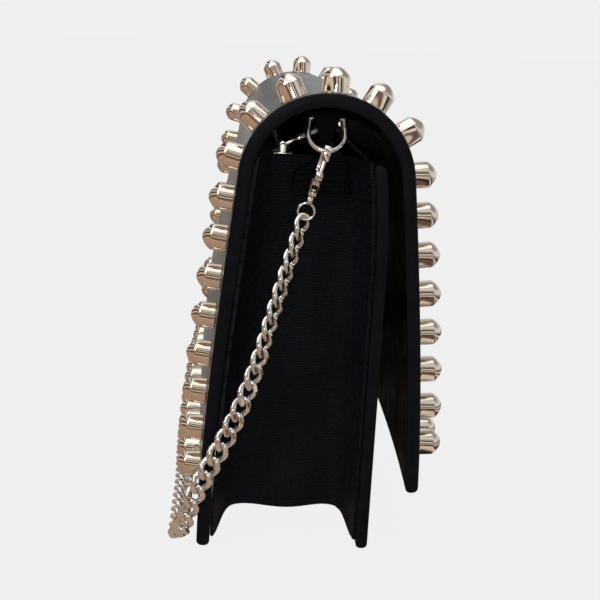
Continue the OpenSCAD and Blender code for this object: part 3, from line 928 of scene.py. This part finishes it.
GUSSET_T = 1.2          # thickness of a gusset's leather
GUSSET_FOOT = 9.5       # height of its lower edge and of its upper one
GUSSET_TOP = 122.4
GUSSET_GAP = 0.02       # gap to the panels it is fixed to
GUSSET_DEPTH = 10.6     # how far inwards its folds lie
GUSSET_SIDE = 0.055     # share of its width that runs down the panels at each side
HEM = [0.0, 0.35, 0.9, 1.6, 2.2, 2.5, 2.8, 3.4]  # rows of points over the turned hem


def inner_back_table():
    """Pairs of height and y of the wrap's inner face."""
    table = []
    for i in range(61):
        p, n = outline(i / 60), outward(i / 60)
        table.append((p[1] - n[1] * WRAP_T, p[0] - n[0] * WRAP_T))
    for a in (8, 12, 16, 20, 24):
        y, z = on_top(a, TOP_R - WRAP_T)
        table.append((z, y))
    return table


INNER_BACK = inner_back_table()


def gusset_at(t, z):
    """The gusset's outer face as x and y: t runs from the front panel to the back."""
    bow = 1 - abs(2 * t - 1) ** 6
    fold = math.cos(math.radians(540 * (t - 0.42)))
    ripple = 0.35 * math.sin(0.055 * z + 5.0 * t) * math.sin(math.pi * t)
    near = lookup(z, FRONT_LINE) + GUSSET_GAP + GUSSET_T
    far = lookup(z, INNER_BACK) - GUSSET_GAP - GUSSET_T
    return -HALF_L + bow * (GUSSET_DEPTH - fold + ripple), near + (far - near) * t


def gusset_low(t):
    """The gusset's wavy lower edge, which runs down the panels at its two sides."""
    wave = 0.55 * math.sin(2 * math.pi * (t * 1.15 + 0.1))
    run = math.exp(-(t / GUSSET_SIDE) ** 2) + math.exp(-((1 - t) / GUSSET_SIDE) ** 2)
    return GUSSET_FOOT + wave - 6.6 * run


def make_gusset(side, sign):
    """A folded leather gusset with a turned hem along its lower edge."""
    around, high = 60, 48
    n = 2 * around + 2

    def level(t, j):
        low = gusset_low(t)
        if j < len(HEM):
            return low + HEM[j]
        k = (j - len(HEM) + 1) / (high - len(HEM) + 1)
        return low + HEM[-1] + (GUSSET_TOP - low - HEM[-1]) * k

    def point(i, j):
        inner = i % n > around
        t = (n - 1 - i % n) / around if inner else i % n / around
        z = level(t, j)
        x0, y0 = gusset_at(t, z)
        xa, ya = gusset_at(max(t - 0.01, 0.0), z)
        xb, yb = gusset_at(min(t + 0.01, 1.0), z)
        length = math.hypot(xb - xa, yb - ya)
        nx, ny = (yb - ya) / length, -(xb - xa) / length
        hem = 0.35 * math.sin(math.pi * min(j, 5) / 5) if j < 6 else 0.0
        hem -= 0.16 if j == 5 else 0.0
        thin = GUSSET_T / 2 * (1 - (0.35 if j in (0, high) else 1.0))
        off = GUSSET_T - thin if inner else thin - hem * (1 - abs(2 * t - 1) ** 8)
        return placed(sign * (x0 + nx * off), y0 + ny * off, z)

    def uv(i, j):
        k = min(i, n - 1 - i) / around
        return (k * 0.062, level(min(max(k, 0), 1), j) * MM)

    part_from("gusset_" + side + "_fold", grid_bmesh(n, high, point, uv), "gusset", ["gusset_" + side],
              "root", 60)


def make_bottom():
    """The bottom panel, sagging a little between the gussets."""
    (_, y0, low), (half, y1, high) = box_mm("bottom_panel")
    across, along = 12, 60
    n = 2 * across + 2

    def point(i, j):
        k = i % n
        under = k > across
        q = (n - 1 - k) / across if under else k / across
        x = half * (2 * j / along - 1)
        rim = min(q, 1 - q, (1 - abs(x) / half) * half / (y1 - y0)) * (y1 - y0)
        thin = 0.5 * max(0.0, 1 - rim / 1.2) ** 2
        sag = 0.28 * math.sin(math.pi * q) * (1 - (x / half) ** 2)
        return placed(x, y0 + (y1 - y0) * q, low + thin - sag if under else high - thin - sag)

    bm = grid_bmesh(n, along, point, lambda i, j: (j * 0.0028, (i % 13) * 0.0035))
    part_from("bottom_sheet", bm, "panel", ["bottom_panel"], "root", 60)


# ---- inside ----
CARD_T = 0.8            # thickness of a card slot's leaf
CARD_FOOT = 14.0        # height of the leaves' lower edges and of the tallest one's upper edge
CARD_TOP = 106.0
CARD_DROP = 20          # how much lower each leaf is than the one behind it
NOTCH = 3.5             # depth and half width of a leaf's thumb notch
NOTCH_HALF = 8.0


def leaf(name, x_half, y0, y1, z0, top, look, cad, notch=0.0):
    """A flat leather leaf with a rolled top edge and, for a card slot, a thumb notch."""
    along = 64
    t = (y1 - y0) / 2
    section = [(-t, 0.0), (t, 0.0)] + [(t * math.cos(math.radians(a)), 1.0) for a in range(0, 181, 30)]
    n = len(section)

    def point(i, j):
        k = i % n
        x = x_half * (2 * j / along - 1)
        dip = notch * math.exp(-(x / NOTCH_HALF) ** 4)
        off, share = section[k]
        z = z0 if share == 0 else top - dip - t + t * math.sin(math.radians(30 * (k - 2)))
        return placed(x, (y0 + y1) / 2 + off, z)

    bm = grid_bmesh(n, along, point, lambda i, j: (j * 0.0025, point(i, j).z))
    part_from(name, bm, look, [cad], "root", 50)


def make_pocket():
    """The zipped pocket's wall and the three leaves of card slots in front of it."""
    (_, y0, low), (half, y1, high) = box_mm("pocket_wall")
    leaf("pocket_panel", half, y0, y1, low, high, "panel", "pocket_wall")
    half = box_mm("card_slots")[1][0]
    for i in range(3):
        back = y0 - CARD_T * i
        leaf("card_leaf_%d" % (i + 1), half, back - CARD_T, back, CARD_FOOT, CARD_TOP - CARD_DROP * i,
             "lining", "card_slots", NOTCH)


ZIP_Y = 11.5            # where the zip's middle line runs, and the height of its tapes' undersides
ZIP_Z = 119.6
TOOTH = (1.15, 1.7, 1.2)  # size of a tooth
TOOTH_PITCH = 1.8
SLIDER_X = -73.0
PULL_LEAN = math.radians(28)  # how far the pull is tilted up towards the front
PULL_Z = ZIP_Z + 4.2


def make_zip():
    """The zip: woven tapes with a corded edge, teeth, slider, pull and its leather strap."""
    half = box_mm("zip_tape_front")[1][0]
    along = 50
    for name, side in (("front", -1), ("back", 1)):
        inside = ZIP_Y + side * 0.95
        outside = box_mm("zip_tape_" + name)[0 if side < 0 else 1][1]
        section = [(outside, 0.05), (outside, 0.55), (inside + side * 1.2, 0.55)]
        for a in (120, 90, 50, 20, -20, -50, -90, -120):
            c, q = math.cos(math.radians(a)), math.sin(math.radians(a))
            section.append((inside + side * (0.5 - 0.5 * c), 0.3 + 0.48 * q))
        section.append((inside + side * 1.2, 0.05))
        n = len(section)

        def point(i, j, section=section, n=n):
            y, z = section[i % n]
            return placed(half * (2 * j / along - 1), y, ZIP_Z + z)

        bm = grid_bmesh(n, along, point, lambda i, j: (j * 0.003, i * 0.0006))
        part_from("zip_cloth_" + name, bm, "tape", ["zip_tape_" + name], "root", 40)
    tooth = bmesh.new()
    bmesh.ops.create_cube(tooth, size=1.0)
    bmesh.ops.scale(tooth, vec=Vector(TOOTH) * MM, verts=tooth.verts[:])
    bevel(tooth, tooth.edges[:], 0.28)
    mesh = mesh_from("tooth", tooth)
    bm = bmesh.new()
    count = math.floor((2 * half - 6) / TOOTH_PITCH)
    for i in range(count):
        x = (i - (count - 1) / 2) * TOOTH_PITCH
        off = 0.12 if i % 2 else -0.12
        add_copy(bm, mesh, Matrix.Translation(placed(x, ZIP_Y + off, ZIP_Z + 0.3)))
    bpy.data.meshes.remove(mesh)
    part_from("zip_teeth_row", bm, "nickel", ["zip_teeth"], "root")
    part_from("zip_slide_body", from_node("zip_slider", 0.16), "nickel", ["zip_slider"], "zip_slider")
    part_from("zip_pull_metal", from_node("zip_puller", 0.16), "nickel", ["zip_puller"], "zip_pull")
    make_strap()


def rounded_section(angle, wide, thick, square):
    """A point of a section between an ellipse and a rectangle: the lower square is, the squarer."""
    c, q = math.cos(angle), math.sin(angle)
    return wide * math.copysign(abs(c) ** square, c), thick * math.copysign(abs(q) ** 0.6, q)


def make_strap():
    """The zip pull's leather strap, tapering to a soft point."""
    along, n = 26, 14
    c, q = math.cos(PULL_LEAN), math.sin(PULL_LEAN)

    def point(i, j):
        s = j / along
        y = -5.9 - 15.0 * s
        wide = 3.0 * (1 - max(0.0, (s - 0.72) / 0.28) ** 2.2 * 0.72)
        thick = 0.68 * (1 - 0.45 * max(0.0, (s - 0.6) / 0.4) ** 2)
        x, z = rounded_section(2 * math.pi * (i % n) / n, wide, thick, 0.35)
        z -= 0.22 * math.sin(math.pi * s)
        return placed(SLIDER_X + x, ZIP_Y + y * c + z * q, PULL_Z - y * q + z * c)

    bm = grid_bmesh(n, along, point, lambda i, j: (i * 0.001, j * 0.0006))
    part_from("zip_pull_strap", bm, "strap", ["zip_strap"], "zip_pull", 60)


# ---- studs ----
STUD_GAPS = 21          # gaps between the studs along each side
STUD_SPOTS = {
    "studs_back_left": ("root", -1, 0, 8), "studs_back_right": ("root", 1, 0, 8),
    "studs_top_left": ("flap_top", -1, 9, 12), "studs_top_right": ("flap_top", 1, 9, 12),
    "studs_flap_left": ("flap", -1, 13, 21), "studs_flap_right": ("flap", 1, 13, 21),
}
STUD_ROWS = {"studs_back_row": ("root", 0), "studs_flap_row": ("flap", STUD_GAPS)}
STUD_X = 87.5
LOW_STUD = 24.8         # lengths along the outline to the first and the last stud
HIGH_STUD = 278.2


def stud_mesh(diameter, height):
    """One bullet-shaped stud standing up Z, its foot just below the origin."""
    r = diameter / 2
    profile = [(r - 0.15, -0.3), (r, -0.1), (r + 0.05, 0.15), (r - 0.03, 0.45), (r - 0.05, 0.60 * height),
               (r * 0.94, 0.66 * height), (r * 0.84, 0.735 * height), (r * 0.70, 0.815 * height),
               (r * 0.52, 0.895 * height), (r * 0.33, 0.955 * height), (r * 0.15, 0.99 * height)]
    bm = bmesh.new()
    verts = [bm.verts.new(Vector((a, 0.0, z)) * MM) for a, z in profile]
    edges = [bm.edges.new(pair) for pair in zip(verts, verts[1:])]
    bmesh.ops.spin(bm, geom=verts + edges, axis=(0, 0, 1), cent=(0, 0, 0), steps=24, angle=2 * math.pi,
                   use_merge=True)
    bmesh.ops.remove_doubles(bm, verts=bm.verts[:], dist=1e-7)
    rim = [e for e in bm.edges if e.is_boundary]
    filled = bmesh.ops.holes_fill(bm, edges=rim, sides=0)["faces"]
    crown = max(filled, key=lambda f: f.calc_center_median().z)
    middle = bmesh.ops.poke(bm, faces=[crown])["verts"][0]
    middle.co.z = height * MM
    bmesh.ops.recalc_face_normals(bm, faces=bm.faces[:])
    return mesh_from("stud", bm)


def stud_place(x, u):
    """Where a stud stands on the wrap, its axis along the outline's outward direction."""
    n = outward(u)
    turn = Matrix.Rotation(math.atan2(n[1], n[0]) - math.pi / 2, 4, "X")
    return Matrix.Translation(wrap_point(x, u, 0)) @ turn


def make_studs(diameter, height, row_count):
    """All the studs, in one piece for each CAD node of them."""
    run = HIGH_STUD - LOW_STUD
    us = [lookup(LOW_STUD + run * i / STUD_GAPS, U_BY_RUN) for i in range(STUD_GAPS + 1)]
    mesh = stud_mesh(diameter, height)
    groups = {}
    for name, (body, side, first, last) in STUD_SPOTS.items():
        groups[name] = (body, [(side * STUD_X, us[i]) for i in range(first, last + 1)])
    for name, (body, at) in STUD_ROWS.items():
        spots = [(-STUD_X + 2 * STUD_X * i / (row_count + 1), us[at]) for i in range(1, row_count + 1)]
        groups[name] = (body, spots)
    for name, (body, spots) in groups.items():
        bm = bmesh.new()
        for x, u in spots:
            add_copy(bm, mesh, stud_place(x, u))
        part_from("metal_" + name, bm, "stud", [name], body, 24)
    bpy.data.meshes.remove(mesh)


# ---- rings, tabs, hooks ----
BAR = (-86.2, -0.4, 133.4)  # the middle of the ring's bar
TAB_RISE = ((-86.1, 111.0), (-86.1, 114.0), (-86.1, 117.5), (-86.1, 119.5), (-86.1, 121.5), (-86.1, 124.0),
            (-86.0, 127.5), (-85.6, 130.0), (-84.9, 132.0))  # the tongue's line up to the bar, x and z
TAB_FALL = ((-87.45, 131.4), (-87.15, 129.8), (-87.05, 128.4), (-87.05, 127.2), (-87.05, 126.6))
TAB_SIDES = ((111.0, -8.6, 9.6), (117.5, -7.5, 9.0), (121.5, -6.6, 2.6), (127.5, -2.4, 2.4),
             (133.4, -2.4, 2.4))  # where its two sides are at a height
TAB_ENDS = (3.2, 2.5, 2.3, 2.1, 1.4)  # half its width down the fall
TAB_HALF_T = 0.46


def make_tab(name, sign):
    """The leather tongue that folds over the ring's bar and comes down on itself."""
    over = [math.radians(a) for a in range(0, 181, 18)]
    path = [*TAB_RISE, *((BAR[0] + 1.5 * math.cos(a), BAR[2] + 2.65 * math.sin(a)) for a in over), *TAB_FALL]
    rise, fall, count = len(TAB_RISE), len(TAB_RISE) + len(over), len(path)
    around = 12

    def half_width(k, z):
        if k < rise:
            low, high = (lookup(z, [(row[0], row[c]) for row in TAB_SIDES]) for c in (1, 2))
            return (high - low) / 2, (high + low) / 2
        if k < fall:
            return 3.6 + 1.4 * math.sin(over[k - rise]), 0.0
        return TAB_ENDS[k - fall], 0.0

    def point(i, j):
        a, b = path[max(j - 1, 0)], path[min(j + 1, count - 1)]
        length = math.dist(a, b)
        nx, nz = (b[1] - a[1]) / length, -(b[0] - a[0]) / length
        x, z = path[j]
        wide, middle = half_width(j, z)
        y, d = rounded_section(2 * math.pi * (i % around) / around, wide, TAB_HALF_T, 0.3)
        return placed(sign * (x + nx * d), BAR[1] + middle + y, z + nz * d)

    bm = grid_bmesh(around, count - 1, point, lambda i, j: (point(i, j).y, j * 0.0018))
    part_from(name + "_leather", bm, "tab", [name], "root", 60)


def make_rings():
    """The D-rings, their leather tongues, and the snap hooks with gates and swivel eyes."""
    for name, sign in (("left", 1), ("right", -1)):
        make_tab("ring_tab_" + name, sign)
        for cad, amount, body in (("d_ring_", 0.0, "ring_"), ("hook_", 0.3, "ring_"),
                                  ("hook_gate_", 0.22, "gate_"), ("swivel_eye_", 0.0, "eye_")):
            part_from(cad + name + "_metal", from_node(cad + name, amount), "nickel", [cad + name],
                      body + name, 45)


# ---- clasp ----
def make_clasp():
    """The boss on the flap and the two halves of the magnetic lock behind it."""
    for cad, body, amount, look in (
            ("clasp_plate", "flap", 0.3, "clasp"), ("clasp_dome", "flap", 0.4, "boss"),
            ("lock_body", "root", 0.5, "clasp"), ("lock_flap", "flap", 0.5, "clasp")):
        part_from(cad + "_finished", from_node(cad, amount, 3), look, [cad], body, 40)


# ---- settings, operators and panel ----
def length_property(name, text, value, low, high):
    """A length setting, in metres."""
    return FloatProperty(name=name, description=text, default=value, min=low, max=high, unit="LENGTH",
                         subtype="DISTANCE")


def colour_property(name, text, value):
    """A colour setting."""
    return FloatVectorProperty(name=name, description=text, default=value, size=3, min=0.0, max=1.0,
                               subtype="COLOR")


class WalletSizes(bpy.types.PropertyGroup):
    """Sizes of the wallet's repeated pieces."""
    stud_width: length_property("Stud Width", "Diameter of a stud", 0.008, 0.007, 0.0084)
    stud_height: length_property("Stud Height", "Height of a stud above the leather", 0.0073, 0.0065, 0.008)
    row_studs: IntProperty(name="Studs in a Row", description="Studs between the two corner studs of a row",
                           default=14, min=12, max=15)
    link_pitch: length_property("Link Pitch", "Distance from one chain link to the next",
                                0.0052, 0.0045, 0.006)
    show_floor: BoolProperty(name="Floor", description="Stand the wallet on a pale floor", default=True)


class WalletLooks(bpy.types.PropertyGroup):
    """Colours of the wallet's finishes."""
    silver: colour_property("Silver Leather", "Colour of the wrap's leather", (0.185, 0.195, 0.20))
    black: colour_property("Black Leather", "Colour of the gussets and panels", (0.0024, 0.0029, 0.0042))
    # painted shade: darker than the black leather to offset the brighter light on the tongues
    tab: colour_property("Tab Leather", "Colour of the ring tongues", (0.0009, 0.0010, 0.0013))
    edge: colour_property("Edge Paint", "Colour of the painted edges", (0.0026, 0.0033, 0.0062))
    lining: colour_property("Lining", "Colour of the lining and zip tape", (0.0030, 0.0030, 0.0034))
    nickel: colour_property("Nickel", "Colour of the rings and hooks", (0.76, 0.73, 0.70))
    chain: colour_property("Chain", "Colour of the chain", (0.76, 0.74, 0.71))
    stud: colour_property("Studs", "Colour of the studs", (0.74, 0.66, 0.575))
    strap: colour_property("Pull Strap", "Colour of the zip pull's strap", (0.78, 0.78, 0.80))
    clasp: colour_property("Clasp", "Colour of the clasp's metal", (0.36, 0.35, 0.33))
    boss: colour_property("Boss", "Colour of the boss", (0.05, 0.05, 0.042))


class WALLET_OT_stage(bpy.types.Operator):
    """Set up the camera, soft lights, surroundings and floor"""
    bl_idname = "wallet.stage"
    bl_label = "Stage"

    def execute(self, context):
        make_camera()
        make_world()
        if context.scene.wallet_sizes.show_floor:
            make_floor()
        area_light("Overhead", (-0.1, 0.1, 1.3), (0.0, 0.0, 0.1), 1.4, 6.5)
        area_light("Key", (-0.55, 0.75, 0.85), (0.0, 0.0, 0.1), 0.5, 3.0, (1.0, 0.98, 0.95))
        area_light("Front", (-0.9, 0.05, 0.32), (-0.08, 0.0, 0.13), 0.12, 0.8)
        context.scene.view_settings.view_transform = "Standard"
        return {"FINISHED"}


class WALLET_OT_chain(bpy.types.Operator):
    """Build the curb chain strap"""
    bl_idname = "wallet.chain"
    bl_label = "Chain"

    def execute(self, context):
        make_chain(context.scene.wallet_sizes.link_pitch / MM)
        return {"FINISHED"}


class WALLET_OT_wrap(bpy.types.Operator):
    """Build the wrap's leather, boards and lining"""
    bl_idname = "wallet.wrap"
    bl_label = "Wrap"

    def execute(self, context):
        make_wrap()
        return {"FINISHED"}


class WALLET_OT_front(bpy.types.Operator):
    """Build the front panel"""
    bl_idname = "wallet.front"
    bl_label = "Front Panel"

    def execute(self, context):
        make_front()
        return {"FINISHED"}


class WALLET_OT_gussets(bpy.types.Operator):
    """Build the two gussets and the bottom"""
    bl_idname = "wallet.gussets"
    bl_label = "Gussets and Bottom"

    def execute(self, context):
        make_gusset("left", 1)
        make_gusset("right", -1)
        make_bottom()
        return {"FINISHED"}


class WALLET_OT_inside(bpy.types.Operator):
    """Build the pocket, the card slots and the zip"""
    bl_idname = "wallet.inside"
    bl_label = "Pocket and Zip"

    def execute(self, context):
        make_pocket()
        make_zip()
        return {"FINISHED"}


class WALLET_OT_studs(bpy.types.Operator):
    """Build the studs"""
    bl_idname = "wallet.studs"
    bl_label = "Studs"

    def execute(self, context):
        sizes = context.scene.wallet_sizes
        make_studs(sizes.stud_width / MM, sizes.stud_height / MM, sizes.row_studs)
        return {"FINISHED"}


class WALLET_OT_rings(bpy.types.Operator):
    """Build the D-rings, tongues and snap hooks"""
    bl_idname = "wallet.rings"
    bl_label = "Rings and Hooks"

    def execute(self, context):
        make_rings()
        return {"FINISHED"}


class WALLET_OT_clasp(bpy.types.Operator):
    """Build the boss and the magnetic lock"""
    bl_idname = "wallet.clasp"
    bl_label = "Clasp"

    def execute(self, context):
        make_clasp()
        return {"FINISHED"}


STEPS_IN_ORDER = ("stage", "chain", "wrap", "front", "gussets", "inside", "studs", "rings", "clasp")


class WALLET_PT_sidebar(bpy.types.Panel):
    """The wallet's settings and building steps"""
    bl_idname = "WALLET_PT_sidebar"
    bl_label = "Chain Wallet"
    bl_space_type = "VIEW_3D"
    bl_region_type = "UI"
    bl_category = "Wallet"

    def draw(self, context):
        layout = self.layout
        for name in ("stud_width", "stud_height", "row_studs", "link_pitch", "show_floor"):
            layout.prop(context.scene.wallet_sizes, name)
        for name in WalletLooks.__annotations__:
            layout.prop(context.scene.wallet_looks, name)
        for name in STEPS_IN_ORDER:
            layout.operator("wallet." + name)


CLASSES = (WalletSizes, WalletLooks, WALLET_OT_stage, WALLET_OT_chain, WALLET_OT_wrap, WALLET_OT_front,
           WALLET_OT_gussets, WALLET_OT_inside, WALLET_OT_studs, WALLET_OT_rings, WALLET_OT_clasp,
           WALLET_PT_sidebar)


def register():
    """Registers the classes and the scene's settings."""
    for cls in CLASSES:
        bpy.utils.register_class(cls)
    bpy.types.Scene.wallet_sizes = PointerProperty(type=WalletSizes)
    bpy.types.Scene.wallet_looks = PointerProperty(type=WalletLooks)


def unregister():
    """Removes the classes and the settings."""
    del bpy.types.Scene.wallet_looks
    del bpy.types.Scene.wallet_sizes
    for cls in reversed(CLASSES):
        bpy.utils.unregister_class(cls)


def main():
    """Builds the wallet."""
    register()
    for name in STEPS_IN_ORDER:
        result = getattr(bpy.ops.wallet, name)()
        if result != {"FINISHED"}:
            raise RuntimeError("the step " + name + " did not finish")


if __name__ == "__main__":
    main()
